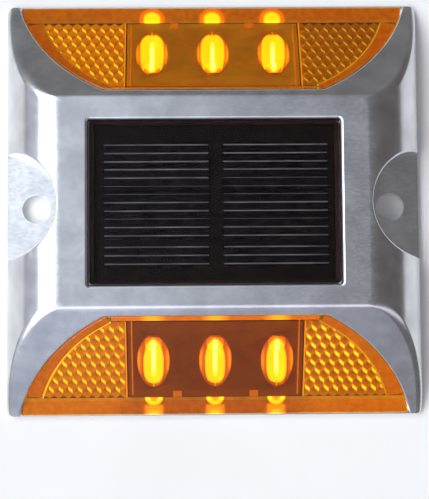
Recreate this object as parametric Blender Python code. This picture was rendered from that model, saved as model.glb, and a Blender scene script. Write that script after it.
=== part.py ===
"""A solar raised pavement marker: a cast aluminium shell bolted to the road, with a solar window on top and
an amber reflector lens with three LEDs on each slope. +Z is up, the slopes face -Y and +Y, the bolt holes lie
on X, and the origin is on the road under the middle. Shapes are drawn in millimetres and stored in metres."""

import math

import bmesh
import bpy
from mathutils import Matrix, Vector

MM = 0.001
GAP = 0.3  # clearance that neighbours keep
ROUND = 24  # sides of a round shape

# Shell
SIDE = 123.0
HEIGHT = 21.5
SILL = 2.0  # upright edge under the curved sides and the slopes
CORNER = 2.0  # plan radius of the corners and of the ridges above them
PLATEAU_X = 44.5  # half the flat top, where the curved sides begin
PLATEAU_Y = 30.5  # half the flat top, where the slopes begin
SHOULDER = 4.0  # radius between slope and flat top
HALF = SIDE / 2
SLOPE = math.atan2(HEIGHT - SILL, HALF - PLATEAU_Y)

# Bolt pockets
POCKET_RADIUS = 15.7
POCKET_WALL = 2.8
PAD_THICKNESS = 3.0
BOLT_HOLE_RADIUS = 4.2  # clears an M8 bolt
BOLT_X = 52.85

# Hollow under the shell
RIM_X = 57.0
RIM_Y = 58.0
BASE_TOP = 1.6
BASE_BOTTOM = 0.3
HOLLOW_X = 53.0
HOLLOW_TOP = 14.1
LEDGE_DEPTH = 5.2  # from the slope's surface to the underside of the lens ledge

# Base plate, its sealing bead and its screws
BEAD_WIDTH = 1.2
GROOVE_PITCH = 8.0
GROOVE_WIDTH = 2.4
GROOVE_DEPTH = 0.5
SCREW_X = 48.0
SCREW_Y = 24.0
BOSS_RADIUS = 3.5
SCREW_RADIUS = 1.25
SCREW_HEAD_RADIUS = 2.3
SCREW_TOP = 8.0
SCREW_TIP = 0.8
CROSS = (1.3, 0.25, 0.7)  # half length, half width and depth of the driver's cross

# Lens, drawn on the slope: x across it and s up it from the outer edge
LENS_TOP_X = 32.0
LENS_TOP_S = 33.5
LENS_LOW_X = 57.6
LENS_LOW_S = 0.3
LENS_BULGE = 4.4
LENS_THICKNESS = 2.4
LENS_LEDGE = 2.4
PRISM_INNER_X = 26.8
PRISM_LOW = (51.0, 5.3)
PRISM_TOP = (30.6, 30.6)
PRISM_BULGE = 3.4
PRISM_DEPTH = 1.2

# LED holder, board and LEDs
HOLDER_X = 25.5
HOLDER_LOW_S = 5.3
HOLDER_TOP_S = 30.7
HOLDER_PLATE = 1.5
HOLDER_BACK = 34.9
LED_PITCH = 18.1
LED_Z = 9.1
LED_BACK = 33.6
LED_RADIUS = 2.5
LED_LENGTH = 8.7
LED_FLANGE = (2.9, 1.0)  # radius, thickness
LEG_SPACING = 2.54
LEG_RADIUS = 0.3
LEG_LENGTH = 2.6
CUP_RADIUS = 4.8
CUP_BACK = 37.9
LED_BOARD = (24.0, 1.2, 10.2)  # half width, thickness, height

# Solar window
WINDOW = (75.1, 49.9)
WINDOW_DRAFT = 1.0
DRAFT_DEPTH = 1.2
WINDOW_FLOOR = 16.6
WINDOW_HOLE = (64.0, 41.0)
SOLAR_BOARD_HEIGHT = 1.0
CELL = (31.0, 6.8, 0.25)
CELL_X = 17.3
CELL_ROWS = (14.6, 7.4, 0.2, -7.0, -15.2)
CELL_SHIFT = (0.4, -0.15)
SEAL_BORDER = (1.3, 0.9)
SEAL_HEIGHT = 1.0
COVER_HEIGHT = 1.4

# Batteries
BATTERY_RADIUS = 5.25
BATTERY_LENGTH = 44.5
BATTERY_PITCH = 11.1
BATTERY_Y = -12.0
BATTERY_BEVEL = 0.4
TERMINAL = (1.9, 1.0)  # radius, height
LINK = (0.3, 7.5, 1.8)  # thickness, half length, half height
TRAY_SLACK = 1.5
TRAY_WALL = 1.0
TRAY_TOP = 7.0

# Control board
CONTROL_BOARD = (-25.0, 25.0, 4.0, 28.0)  # west, east, south, north
CONTROL_BOARD_Z = 3.4
BOARD_THICKNESS = 1.2
POST_RADIUS = 2.0
POST_INSET = 4.0
CHIP = (-2.5, 14.0, 2.5, 2.0, 1.6)  # middle x and y, half length, half width, height
CHIP_PINS = 4
PIN_PITCH = 1.27
PIN = (0.2, 0.7, 3.0, 0.4)  # half width, reach from and to the chip's middle line, thickness
COIL_SPOT = (8.0, 14.0)
COIL = ((4.0, 0), (4.0, 1.0), (2.6, 1.4), (2.6, 4.2), (4.0, 4.6), (4.0, 5.6))  # radius and height
CAPACITOR_SPOT = (17.5, 20.0)
CAPACITOR = ((2.9, 0), (3.15, 0.3), (3.15, 1.0), (2.9, 1.3), (3.15, 1.6), (3.15, 7.7), (2.8, 8.0))

# Leads
LEAD_RADIUS = 0.5
LEAD_STEPS = 3
LEAD_OFFSET = 2.4
LEAD_END = (0.3, 8.45)  # distance from the batteries' ends, height


def clear_scene():
    for item in list(bpy.data.objects):
        bpy.data.objects.remove(item, do_unlink=True)


def make_material(name, colour, roughness, metallic=0.0, transmission=0.0):
    material = bpy.data.materials.new(name)
    material.use_nodes = True
    shader = material.node_tree.nodes["Principled BSDF"]
    shader.inputs["Base Color"].default_value = (*colour, 1.0)
    shader.inputs["Roughness"].default_value = roughness
    shader.inputs["Metallic"].default_value = metallic
    shader.inputs["Transmission Weight"].default_value = transmission
    material.diffuse_color = (*colour, 1.0)
    return material


# Outlines: lists of points, counter-clockwise


def turn(centre, radius, start, end, steps):
    """Points on a circle from the start angle to the end angle, in degrees."""
    points = []
    for step in range(steps + 1):
        angle = math.radians(start + (end - start) * step / steps)
        points.append(Vector((centre[0] + radius * math.cos(angle), centre[1] + radius * math.sin(angle))))
    return points


def arc(start, end, bulge, steps=10):
    """Points on the arc from start to end that stands out to the right of the chord by bulge."""
    start, end = Vector(start), Vector(end)
    chord = end - start
    radius = (chord.length**2 / 4 + bulge**2) / (2 * bulge)
    right = Vector((chord.y, -chord.x)).normalized()
    centre = (start + end) / 2 - right * (radius - bulge)
    first = math.degrees(math.atan2(start.y - centre.y, start.x - centre.x))
    sweep = math.degrees(2 * math.asin(chord.length / 2 / radius))
    return turn(centre, radius, first, first + sweep, steps)


def rectangle(half_x, half_y, radius=0.0, steps=4):
    """A rectangle about the origin, with round corners where a radius is given."""
    if not radius:
        corners = ((half_x, half_y), (-half_x, half_y), (-half_x, -half_y), (half_x, -half_y))
        return [Vector(corner) for corner in corners]
    points = []
    for start, x, y in ((0, 1, 1), (90, -1, 1), (180, -1, -1), (270, 1, -1)):
        centre = (x * (half_x - radius), y * (half_y - radius))
        points += turn(centre, radius, start, start + 90, steps)
    return points


def notched(half_x, half_y, notch_radius):
    """A rectangle with a round bite on the left and on the right, where the bolt pads are."""
    swing = math.degrees(math.acos((HALF - half_x) / notch_radius))
    corner = 3.0
    right = turn((half_x - corner, corner - half_y), corner, -90, 0, 4)
    right += turn((HALF, 0), notch_radius, 180 + swing, 180 - swing, 16)
    right += turn((half_x - corner, half_y - corner), corner, 0, 90, 4)
    return right + [-point for point in right]


def grown(outline, distance):
    """The outline with every side moved outwards by distance."""
    moved = []
    for before, here, after in zip(outline[-1:] + outline[:-1], outline, outline[1:] + outline[:1]):
        first = Vector((here.y - before.y, before.x - here.x)).normalized()
        second = Vector((after.y - here.y, here.x - after.x)).normalized()
        moved.append(here + (first + second) * distance / (1 + first.dot(second)))
    return moved


def lens_outline():
    right = arc((LENS_LOW_X, LENS_LOW_S), (LENS_TOP_X, LENS_TOP_S), LENS_BULGE)
    return right + [Vector((-point.x, point.y)) for point in reversed(right)]


def prism_outline(side):
    outer = arc(PRISM_LOW, PRISM_TOP, PRISM_BULGE, 8)
    points = [Vector((PRISM_INNER_X, PRISM_LOW[1]))] + outer + [Vector((PRISM_INNER_X, PRISM_TOP[1]))]
    if side > 0:
        return points
    return [Vector((-point.x, point.y)) for point in reversed(points)]


# Solids: bmeshes in millimetres


def loft(rings):
    """A closed solid through rings of as many points each, lowest first."""
    solid = bmesh.new()
    loops = [[solid.verts.new(point) for point in ring] for ring in rings]
    for low, high in zip(loops, loops[1:]):
        for i in range(len(low)):
            j = (i + 1) % len(low)
            solid.faces.new((low[i], low[j], high[j], high[i]))
    solid.faces.new(reversed(loops[0]))
    solid.faces.new(loops[-1])
    return solid


def prism(outline, low, high):
    return loft([[(point.x, point.y, z) for point in outline] for z in (low, high)])


def box(low, high):
    middle = (Vector(low) + Vector(high)) / 2
    half = (Vector(high) - Vector(low)) / 2
    solid = prism(rectangle(half.x, half.y), low[2], high[2])
    bmesh.ops.translate(solid, verts=solid.verts, vec=(middle.x, middle.y, 0))
    return solid


def turned(profile, centre=(0, 0), steps=ROUND):
    """A solid turned about an upright axis from (radius, height) points, lowest first."""
    rings = []
    for radius, z in profile:
        circle = turn(centre, radius, 0, 360 - 360 / steps, steps - 1)
        rings.append([(point.x, point.y, z) for point in circle])
    solid = loft(rings)
    bmesh.ops.remove_doubles(solid, verts=solid.verts, dist=0.001)
    return solid


def cylinder(centre, radius, low, high, steps=ROUND):
    return turned([(radius, low), (radius, high)], centre, steps)


def lying(solid, centre, towards):
    """Lays a solid drawn about +Z along the axis towards, X or -Y, through centre."""
    rotation = Matrix.Rotation(math.radians(90), 4, "Y" if towards == "X" else "X")
    bmesh.ops.transform(solid, verts=solid.verts, matrix=Matrix.Translation(centre) @ rotation)
    return solid


def on_slope(solid):
    """Moves a solid drawn with x across, y up and z out of the slope to its place on the front slope."""
    frame = Matrix.Translation((0, -HALF, SILL)) @ Matrix.Rotation(SLOPE, 4, "X")
    bmesh.ops.transform(solid, verts=solid.verts, matrix=frame)
    return solid


def about_face(solid):
    """Turns a solid from the front half to the rear half."""
    bmesh.ops.transform(solid, verts=solid.verts, matrix=Matrix.Rotation(math.pi, 4, "Z"))
    return solid


def stored(solid, name):
    """The solid as a mesh in metres."""
    mesh = bpy.data.meshes.new(name)
    bmesh.ops.scale(solid, verts=solid.verts, vec=(MM, MM, MM))
    bmesh.ops.recalc_face_normals(solid, faces=solid.faces)
    solid.to_mesh(mesh)
    solid.free()
    return mesh


def joined(base, steps, name):
    """The mesh that is left when each (operation, solid) of steps has been done to base."""
    block = bpy.data.objects.new("block", stored(base, name))
    bpy.context.collection.objects.link(block)
    tools = []
    for operation, solid in steps:
        tool = bpy.data.objects.new("tool", stored(solid, "tool"))
        bpy.context.collection.objects.link(tool)
        cut = block.modifiers.new("step", "BOOLEAN")
        cut.operation = operation
        cut.solver = "EXACT"
        cut.object = tool
        tools.append(tool)
    bpy.context.view_layer.update()
    graph = bpy.context.evaluated_depsgraph_get()
    mesh = bpy.data.meshes.new_from_object(block.evaluated_get(graph))
    mesh.name = name
    for helper in [block, *tools]:
        bpy.data.objects.remove(helper, do_unlink=True)
    return mesh


def carved(base, steps):
    """The same as joined, as a solid that can be used in further steps."""
    solid = bmesh.new()
    solid.from_mesh(joined(base, steps, "carved"))
    bmesh.ops.scale(solid, verts=solid.verts, vec=(1 / MM, 1 / MM, 1 / MM))
    return solid


def place(name, mesh, material, location=(0, 0, 0), turned_round=False):
    """One node: the mesh with its material, smooth where it is round."""
    if not mesh.materials:
        mesh.materials.append(material)
    mesh.materials[0] = material
    mesh.shade_smooth()
    mesh.set_sharp_from_angle(angle=math.radians(30))
    node = bpy.data.objects.new(name, mesh)
    node.location = Vector(location) * MM
    node.rotation_euler.z = math.pi if turned_round else 0.0
    bpy.context.collection.objects.link(node)
    return node


# Shell


def slope_reach(z):
    """How far the outside reaches along Y at a height, with the shoulder's radius under the flat top."""
    tangent_y = PLATEAU_Y - SHOULDER * math.tan(SLOPE / 2)
    if z > HEIGHT - SHOULDER * (1 - math.cos(SLOPE)):
        rise = z - (HEIGHT - SHOULDER)
        return tangent_y + math.sqrt(max(SHOULDER**2 - rise**2, 0.0))
    return HALF - (z - SILL) / math.tan(SLOPE)


def shell_outside():
    """Rings from the road up: upright sill, then quarter-ellipse sides and straight slopes."""
    sizes = [(HALF, HALF, 0.0)]
    steps = 14
    for step in range(steps + 1):
        angle = math.radians(90) * step / steps
        z = SILL + (HEIGHT - SILL) * math.sin(angle)
        sizes.append((PLATEAU_X + (HALF - PLATEAU_X) * math.cos(angle), slope_reach(z), z))
    return loft([[(p.x, p.y, z) for p in rectangle(x, y, CORNER)] for x, y, z in sizes])


def shell_hollow():
    """The space for the electronics, with walls parallel to the slopes and clear of the bolt pockets."""
    rings = []
    for z in (1.0, HOLLOW_TOP):
        reach = HALF - (z - SILL) / math.tan(SLOPE) - LEDGE_DEPTH / math.sin(SLOPE)
        outline = notched(HOLLOW_X, reach, POCKET_RADIUS + POCKET_WALL)
        rings.append([(point.x, point.y, z) for point in outline])
    return loft(rings)


def above(height):
    """All the space above a level."""
    return box((-90, -90, height), (90, 90, 60))


def lens_recess():
    outline = lens_outline()
    low_right, low_left = outline[0], outline[-1]
    open_edge = [Vector((low_left.x, -6)), Vector((low_right.x, -6))]
    recess = on_slope(prism(grown(outline + open_edge, GAP), -LENS_THICKNESS - GAP, 4))
    return carved(recess, [("INTERSECT", above(SILL))])


def lens_hole():
    return on_slope(prism(grown(lens_outline(), -LENS_LEDGE), -LEDGE_DEPTH - 1, 4))


def window_well():
    drawn_in = (WINDOW[0] / 2 - WINDOW_DRAFT, WINDOW[1] / 2 - WINDOW_DRAFT)
    full = (WINDOW[0] / 2, WINDOW[1] / 2)
    sizes = ((drawn_in, WINDOW_FLOOR), (drawn_in, HEIGHT - DRAFT_DEPTH), (full, HEIGHT), (full, HEIGHT + 1))
    return loft([[(p.x, p.y, z) for p in rectangle(x, y, 1.0)] for (x, y), z in sizes])


def housing(material):
    boss_places = [(x, y) for x in (-SCREW_X, SCREW_X) for y in (-SCREW_Y, SCREW_Y)]
    steps = [("DIFFERENCE", prism(notched(RIM_X, RIM_Y, POCKET_RADIUS + POCKET_WALL), -1, BASE_TOP + GAP))]
    steps.append(("DIFFERENCE", shell_hollow()))
    steps += [("UNION", cylinder(c, BOSS_RADIUS, BASE_TOP + GAP, HOLLOW_TOP + 1)) for c in boss_places]
    hole_radius = SCREW_RADIUS + GAP
    steps += [("DIFFERENCE", cylinder(c, hole_radius, 0, SCREW_TOP + 0.6, 16)) for c in boss_places]
    steps += [("DIFFERENCE", lens_recess()), ("DIFFERENCE", about_face(lens_recess()))]
    steps += [("DIFFERENCE", lens_hole()), ("DIFFERENCE", about_face(lens_hole()))]
    steps.append(("DIFFERENCE", window_well()))
    hole = rectangle(WINDOW_HOLE[0] / 2, WINDOW_HOLE[1] / 2, 2.0)
    steps.append(("DIFFERENCE", prism(hole, HOLLOW_TOP - 1, WINDOW_FLOOR + 1)))
    for side in (-1, 1):
        steps.append(("DIFFERENCE", cylinder((side * HALF, 0), POCKET_RADIUS, PAD_THICKNESS, 40, 64)))
        steps.append(("DIFFERENCE", cylinder((side * BOLT_X, 0), BOLT_HOLE_RADIUS, -1, 5)))
    place("housing", joined(shell_outside(), steps, "housing"), material)


# Lenses, LED holders, LED boards and LEDs: drawn at the front, turned round for the rear


def lens_mesh():
    plate = on_slope(prism(lens_outline(), -LENS_THICKNESS, 0))
    steps = []
    for side in (-1, 1):
        pad = on_slope(prism(prism_outline(side), -LENS_THICKNESS - PRISM_DEPTH, -LENS_THICKNESS / 2))
        steps.append(("UNION", pad))
    steps.append(("INTERSECT", above(SILL + GAP)))
    return joined(plate, steps, "lens")


def holder_mesh():
    """A wedge behind the lens's clear middle, with a round cup for each LED lying along Y."""
    face = LENS_THICKNESS + GAP
    floor = BASE_TOP + GAP
    width = HOLDER_X
    plate = box((-width, HOLDER_LOW_S, -face - HOLDER_PLATE), (width, HOLDER_TOP_S, -face))
    wedge = box((-width, -HALF, floor), (width, -HOLDER_BACK, HEIGHT))
    wedge_top = box((-width - 1, HOLDER_LOW_S, -40), (width + 1, HOLDER_TOP_S, -face - HOLDER_PLATE / 2))
    steps = [("UNION", carved(wedge, [("INTERSECT", on_slope(wedge_top))])), ("INTERSECT", above(floor))]
    for column in (-1, 0, 1):
        x = column * LED_PITCH
        cup = turned([(LED_RADIUS + GAP, -5), (LED_RADIUS + GAP, 0), (CUP_RADIUS, 0), (CUP_RADIUS, 30)])
        steps.append(("DIFFERENCE", lying(cup, (x, -CUP_BACK, LED_Z), "-Y")))
    return joined(on_slope(plate), steps, "led_holder")


def led_mesh():
    """A round LED drawn along +Z from the back of its flange, with two legs."""
    flange, thickness = LED_FLANGE
    profile = [(flange, 0), (flange, thickness), (LED_RADIUS, thickness)]
    straight = LED_LENGTH - LED_RADIUS
    for step in range(5):
        angle = math.radians(90) * step / 4
        profile.append((LED_RADIUS * math.cos(angle), straight + LED_RADIUS * math.sin(angle)))
    steps = []
    for leg in (-1, 1):
        steps.append(("UNION", cylinder((leg * LEG_SPACING / 2, 0), LEG_RADIUS, -LEG_LENGTH, 0.5, 6)))
    return joined(turned(profile, steps=16), steps, "led")


def led_board_mesh():
    half_width, thickness, height = LED_BOARD
    face = LED_BACK - GAP
    low = BASE_TOP + 2 * GAP
    board = box((-half_width, -face, low), (half_width, thickness - face, low + height))
    steps = []
    for column in (-1, 0, 1):
        for leg in (-1, 1):
            x = column * LED_PITCH + leg * LEG_SPACING / 2
            hole = cylinder((0, 0), LEG_RADIUS + GAP, -thickness - 1, 1, 6)
            steps.append(("DIFFERENCE", lying(hole, (x, -face, LED_Z), "-Y")))
    return joined(board, steps, "led_board")


def lamp_sides(amber, dark, board, epoxy):
    lens, holder, led_board, led = lens_mesh(), holder_mesh(), led_board_mesh(), led_mesh()
    for side, name in ((-1, "front"), (1, "rear")):
        turned_round = side > 0
        place(name + "_lens", lens, amber, turned_round=turned_round)
        place(name + "_led_holder", holder, dark, turned_round=turned_round)
        place(name + "_led_board", led_board, board, turned_round=turned_round)
        for column, label in ((-1, "left"), (0, "middle"), (1, "right")):
            node = place(f"{name}_led_{label}", led, epoxy, (column * LED_PITCH, side * LED_BACK, LED_Z))
            node.rotation_euler.x = -side * math.radians(90)


# Solar window


def window_pieces(board, black, rubber, clear):
    """Solar board on the window's ledge, ten cells on it, a seal round them and the clear cover on top."""
    half_x = WINDOW[0] / 2 - WINDOW_DRAFT - GAP
    half_y = WINDOW[1] / 2 - WINDOW_DRAFT - GAP
    board_low = WINDOW_FLOOR + GAP
    board_top = board_low + SOLAR_BOARD_HEIGHT
    outline = rectangle(half_x, half_y, 0.8)
    place("solar_board", stored(prism(outline, board_low, board_top), "solar_board"), board)
    cell_low = board_top + GAP
    half_cell = (CELL[0] / 2, CELL[1] / 2)
    cell = stored(prism(rectangle(half_cell[0], half_cell[1], 0.4, 2), 0, CELL[2]), "solar_cell")
    for row, y in enumerate(CELL_ROWS, start=1):
        for side, label in ((-1, "left"), (1, "right")):
            spot = (side * CELL_X + CELL_SHIFT[0], y + CELL_SHIFT[1], cell_low)
            place(f"solar_cell_{label}_{row}", cell, black, spot)
    seal_top = cell_low + SEAL_HEIGHT
    inner = rectangle(half_x - SEAL_BORDER[0], half_y - SEAL_BORDER[1], 0.5)
    seal = joined(
        prism(outline, cell_low, seal_top),
        [("DIFFERENCE", prism(inner, cell_low - 1, seal_top + 1))],
        "window_seal",
    )
    place("window_seal", seal, rubber)
    cover_low = seal_top + GAP
    cover = stored(prism(outline, cover_low, cover_low + COVER_HEIGHT), "window_cover")
    place("window_cover", cover, clear)


# Electronics in the hollow


def battery_pieces(plastic, wrap, nickel):
    floor = BASE_TOP + GAP
    half_y = BATTERY_PITCH / 2 + BATTERY_RADIUS + GAP
    half_x = BATTERY_LENGTH / 2 + TRAY_SLACK
    outside = box(
        (-half_x - TRAY_WALL, BATTERY_Y - half_y - TRAY_WALL, floor),
        (half_x + TRAY_WALL, BATTERY_Y + half_y + TRAY_WALL, TRAY_TOP),
    )
    inside = box((-half_x, BATTERY_Y - half_y, floor + TRAY_WALL), (half_x, BATTERY_Y + half_y, TRAY_TOP + 1))
    place("battery_tray", joined(outside, [("DIFFERENCE", inside)], "battery_tray"), plastic)
    cell_z = floor + TRAY_WALL + GAP + BATTERY_RADIUS
    knob_radius, knob = TERMINAL
    length = BATTERY_LENGTH - knob
    end_radius = BATTERY_RADIUS - BATTERY_BEVEL
    profile = [(end_radius, 0), (BATTERY_RADIUS, BATTERY_BEVEL), (BATTERY_RADIUS, length - BATTERY_BEVEL)]
    profile += [(end_radius, length), (knob_radius, length), (knob_radius, BATTERY_LENGTH)]
    for side, label in ((-1, "front"), (1, "rear")):
        cell = lying(turned(profile), (-BATTERY_LENGTH / 2, 0, 0), "X")
        spot = (0, BATTERY_Y + side * BATTERY_PITCH / 2, cell_z)
        node = place("battery_cell_" + label, stored(cell, "battery_cell"), wrap, spot)
        node.rotation_euler.z = math.pi if side < 0 else 0.0
    link_x = BATTERY_LENGTH / 2 + GAP
    thickness, reach, rise = LINK
    low = (link_x, BATTERY_Y - reach, cell_z - rise)
    link = box(low, (link_x + thickness, BATTERY_Y + reach, cell_z + rise))
    place("battery_link", stored(link, "battery_link"), nickel)


def chip_mesh(seat):
    """The chip's body with a row of pins along each side."""
    x, y, half_length, half_width, height = CHIP
    body = box((x - half_length, y - half_width, seat), (x + half_length, y + half_width, seat + height))
    half_pin, near, far, thickness = PIN
    steps = []
    for side in (-1, 1):
        for pin in range(CHIP_PINS):
            pin_x = x + (pin - (CHIP_PINS - 1) / 2) * PIN_PITCH
            reach = sorted((y + side * near, y + side * far))
            foot = box((pin_x - half_pin, reach[0], seat), (pin_x + half_pin, reach[1], seat + thickness))
            steps.append(("UNION", foot))
    return joined(body, steps, "controller_chip")


def control_board_pieces(board, black, ferrite, sleeve):
    west, east, south, north = CONTROL_BOARD
    top = CONTROL_BOARD_Z + BOARD_THICKNESS
    plate = box((west, south, CONTROL_BOARD_Z), (east, north, top))
    place("control_board", stored(plate, "control_board"), board)
    seat = top + GAP
    place("controller_chip", chip_mesh(seat), black)
    place("charge_coil", stored(turned(COIL), "charge_coil"), ferrite, (*COIL_SPOT, seat))
    place("buffer_capacitor", stored(turned(CAPACITOR), "buffer_capacitor"), sleeve, (*CAPACITOR_SPOT, seat))


def smooth_path(route):
    """Points on a smooth curve through the route's points."""
    points = [Vector(point) for point in route]
    points = [2 * points[0] - points[1]] + points + [2 * points[-1] - points[-2]]
    path = []
    for a, b, c, d in zip(points, points[1:], points[2:], points[3:]):
        for step in range(LEAD_STEPS):
            t = step / LEAD_STEPS
            bend = (2 * a - 5 * b + 4 * c - d) * t**2 + (3 * b - a - 3 * c + d) * t**3
            path.append(b + ((c - a) * t + bend) / 2)
    path.append(points[-2])
    return path


def lead(name, material, route):
    """An insulated wire along a route."""
    path = smooth_path(route)
    curve = bpy.data.curves.new(name, "CURVE")
    curve.dimensions = "3D"
    curve.bevel_depth = LEAD_RADIUS * MM
    curve.bevel_resolution = 2
    curve.use_fill_caps = True
    spline = curve.splines.new("POLY")
    spline.points.add(len(path) - 1)
    for spot, point in zip(spline.points, path):
        spot.co = (*(point * MM), 1.0)
    curve.materials.append(material)
    bpy.context.collection.objects.link(bpy.data.objects.new(name, curve))


def board_leads(red, black):
    """Pairs of wires from the control board to the solar board and to the two LED boards."""
    top = CONTROL_BOARD_Z + BOARD_THICKNESS + GAP
    for offset, label, colour in ((0.0, "red", red), (LEAD_OFFSET, "black", black)):
        route = [(-12 + offset, 17, WINDOW_FLOOR), (-13 + offset, 18, 12.5), (-15 + offset, 20, 8.5)]
        lead("solar_lead_" + label, colour, route + [(-15 + offset, 20.6, top)])
        apart = offset * 1.2
        route = [(16 - apart, 24, top), (15 - apart, 27, 6.8), (14 - apart, 29.6, 6.4)]
        lead("rear_led_lead_" + label, colour, route + [(13 - apart, 31.8, 5.6)])
        route = [(22.5 - offset, 8, top), (25 - offset * 0.8, 5.5, 7.4)]
        route += [(28.6 - offset * 0.6, y, z) for y, z in ((-3, 4.6), (-14, 3.6), (-25, 4.2))]
        lead("front_led_lead_" + label, colour, route + [(24 - offset, -30, 5.2), (22 - offset, -31.8, 5.6)])


def battery_leads(red, black):
    """A wire from each battery to the control board."""
    top = CONTROL_BOARD_Z + BOARD_THICKNESS + GAP
    clear, end_z = LEAD_END
    start_x = -BATTERY_LENGTH / 2 - clear
    rear_y = BATTERY_Y + BATTERY_PITCH / 2
    route = [(start_x, rear_y, end_z), (-25.2, rear_y + 1, 9.0), (-26.2, -1, 9.4), (-24.6, 4.0, 8.4)]
    lead("battery_lead_red", red, route + [(-22.6, 6.6, 6.6), (-22, 7.4, top)])
    front_y = BATTERY_Y - BATTERY_PITCH / 2
    route = [(start_x, front_y, end_z), (-26, front_y + 2, 9.6), (-28.2, -8, 10.6), (-27.6, 2, 10.2)]
    lead("battery_lead_black", black, route + [(-24, 8.5, 8.2), (-20, 10.4, 6.4), (-19, 10.8, top)])


# Underside


def base_outline(inset):
    """The opening under the shell, drawn in by inset."""
    return notched(RIM_X - inset, RIM_Y - inset, POCKET_RADIUS + POCKET_WALL + inset)


def base_seal(sealant):
    outer = prism(base_outline(GAP), BASE_BOTTOM, BASE_TOP)
    inner = prism(base_outline(GAP + BEAD_WIDTH), BASE_BOTTOM - 1, BASE_TOP + 1)
    place("base_seal", joined(outer, [("DIFFERENCE", inner)], "base_seal"), sealant)


def screw_sink(centre):
    """The countersunk hole that clears a base screw."""
    clear = GAP * math.sqrt(2)
    top_radius = SCREW_RADIUS + GAP
    wide = SCREW_HEAD_RADIUS + clear
    profile = [(wide + 1, BASE_BOTTOM - 1), (wide, BASE_BOTTOM)]
    profile += [(top_radius, BASE_BOTTOM + wide - top_radius), (top_radius, BASE_TOP + 1)]
    return turned(profile, centre)


def base_plate(plastic):
    """The plate that closes the hollow, grooved below, with posts for the control board."""
    steps = []
    for row in range(-6, 8):
        y = (row - 0.5) * GROOVE_PITCH
        low = (-RIM_X, y - GROOVE_WIDTH / 2, BASE_BOTTOM - 1)
        steps.append(("DIFFERENCE", box(low, (RIM_X, y + GROOVE_WIDTH / 2, BASE_BOTTOM + GROOVE_DEPTH))))
    west, east, south, north = CONTROL_BOARD
    for x in (west + POST_INSET, east - POST_INSET):
        for y in (south + POST_INSET, north - POST_INSET):
            steps.append(("UNION", cylinder((x, y), POST_RADIUS, BASE_TOP - 0.5, CONTROL_BOARD_Z - GAP, 16)))
    for x in (-SCREW_X, SCREW_X):
        for y in (-SCREW_Y, SCREW_Y):
            steps.append(("DIFFERENCE", screw_sink((x, y))))
    plate = prism(base_outline(GAP + BEAD_WIDTH + GAP), BASE_BOTTOM, BASE_TOP)
    place("base_plate", joined(plate, steps, "base_plate"), plastic)


def base_screws(steel):
    sunk = BASE_BOTTOM + SCREW_HEAD_RADIUS - SCREW_RADIUS
    profile = [(SCREW_HEAD_RADIUS, BASE_BOTTOM), (SCREW_RADIUS, sunk)]
    profile += [(SCREW_RADIUS, SCREW_TOP - SCREW_TIP), (SCREW_RADIUS - 0.7, SCREW_TOP)]
    length, width, depth = CROSS
    cross = []
    for x, y in ((length, width), (width, length)):
        cross.append(("DIFFERENCE", box((-x, -y, BASE_BOTTOM - 1), (x, y, BASE_BOTTOM + depth))))
    screw = joined(turned(profile, steps=16), cross, "base_screw")
    places = ((-1, -1, "front_left"), (1, -1, "front_right"), (-1, 1, "rear_left"), (1, 1, "rear_right"))
    for x, y, label in places:
        place("base_screw_" + label, screw, steel, (x * SCREW_X, y * SCREW_Y, 0))


def main():
    clear_scene()
    aluminium = make_material("cast_aluminium", (0.60, 0.61, 0.64), 0.35, 1.0)
    amber = make_material("amber_lens", (0.90, 0.42, 0.03), 0.10, 0.0, 0.6)
    dark = make_material("brown_plastic", (0.16, 0.06, 0.02), 0.45)
    epoxy = make_material("led_epoxy", (1.00, 0.62, 0.05), 0.15)
    clear = make_material("clear_cover", (0.10, 0.09, 0.09), 0.06, 0.0, 0.8)
    rubber = make_material("seal_rubber", (0.045, 0.025, 0.022), 0.6)
    black = make_material("silicon_cell", (0.012, 0.011, 0.016), 0.25)
    panel = make_material("solar_board", (0.020, 0.014, 0.014), 0.4)
    circuit = make_material("circuit_board", (0.03, 0.20, 0.08), 0.4)
    chip = make_material("chip_plastic", (0.02, 0.02, 0.02), 0.5)
    ferrite = make_material("ferrite", (0.06, 0.06, 0.065), 0.6)
    sleeve = make_material("capacitor_sleeve", (0.03, 0.05, 0.14), 0.35)
    wrap = make_material("battery_wrap", (0.05, 0.28, 0.12), 0.35)
    nickel = make_material("nickel", (0.65, 0.63, 0.58), 0.3, 1.0)
    grey = make_material("base_plastic", (0.09, 0.09, 0.095), 0.55)
    sealant = make_material("sealant", (0.55, 0.55, 0.53), 0.7)
    steel = make_material("screw_steel", (0.55, 0.55, 0.56), 0.3, 1.0)
    red_wire = make_material("red_insulation", (0.55, 0.03, 0.02), 0.45)
    black_wire = make_material("black_insulation", (0.02, 0.02, 0.02), 0.45)

    housing(aluminium)
    lamp_sides(amber, dark, circuit, epoxy)
    window_pieces(panel, black, rubber, clear)
    battery_pieces(grey, wrap, nickel)
    control_board_pieces(circuit, chip, ferrite, sleeve)
    board_leads(red_wire, black_wire)
    battery_leads(red_wire, black_wire)
    base_seal(sealant)
    base_plate(grey)
    base_screws(steel)


main()
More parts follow.
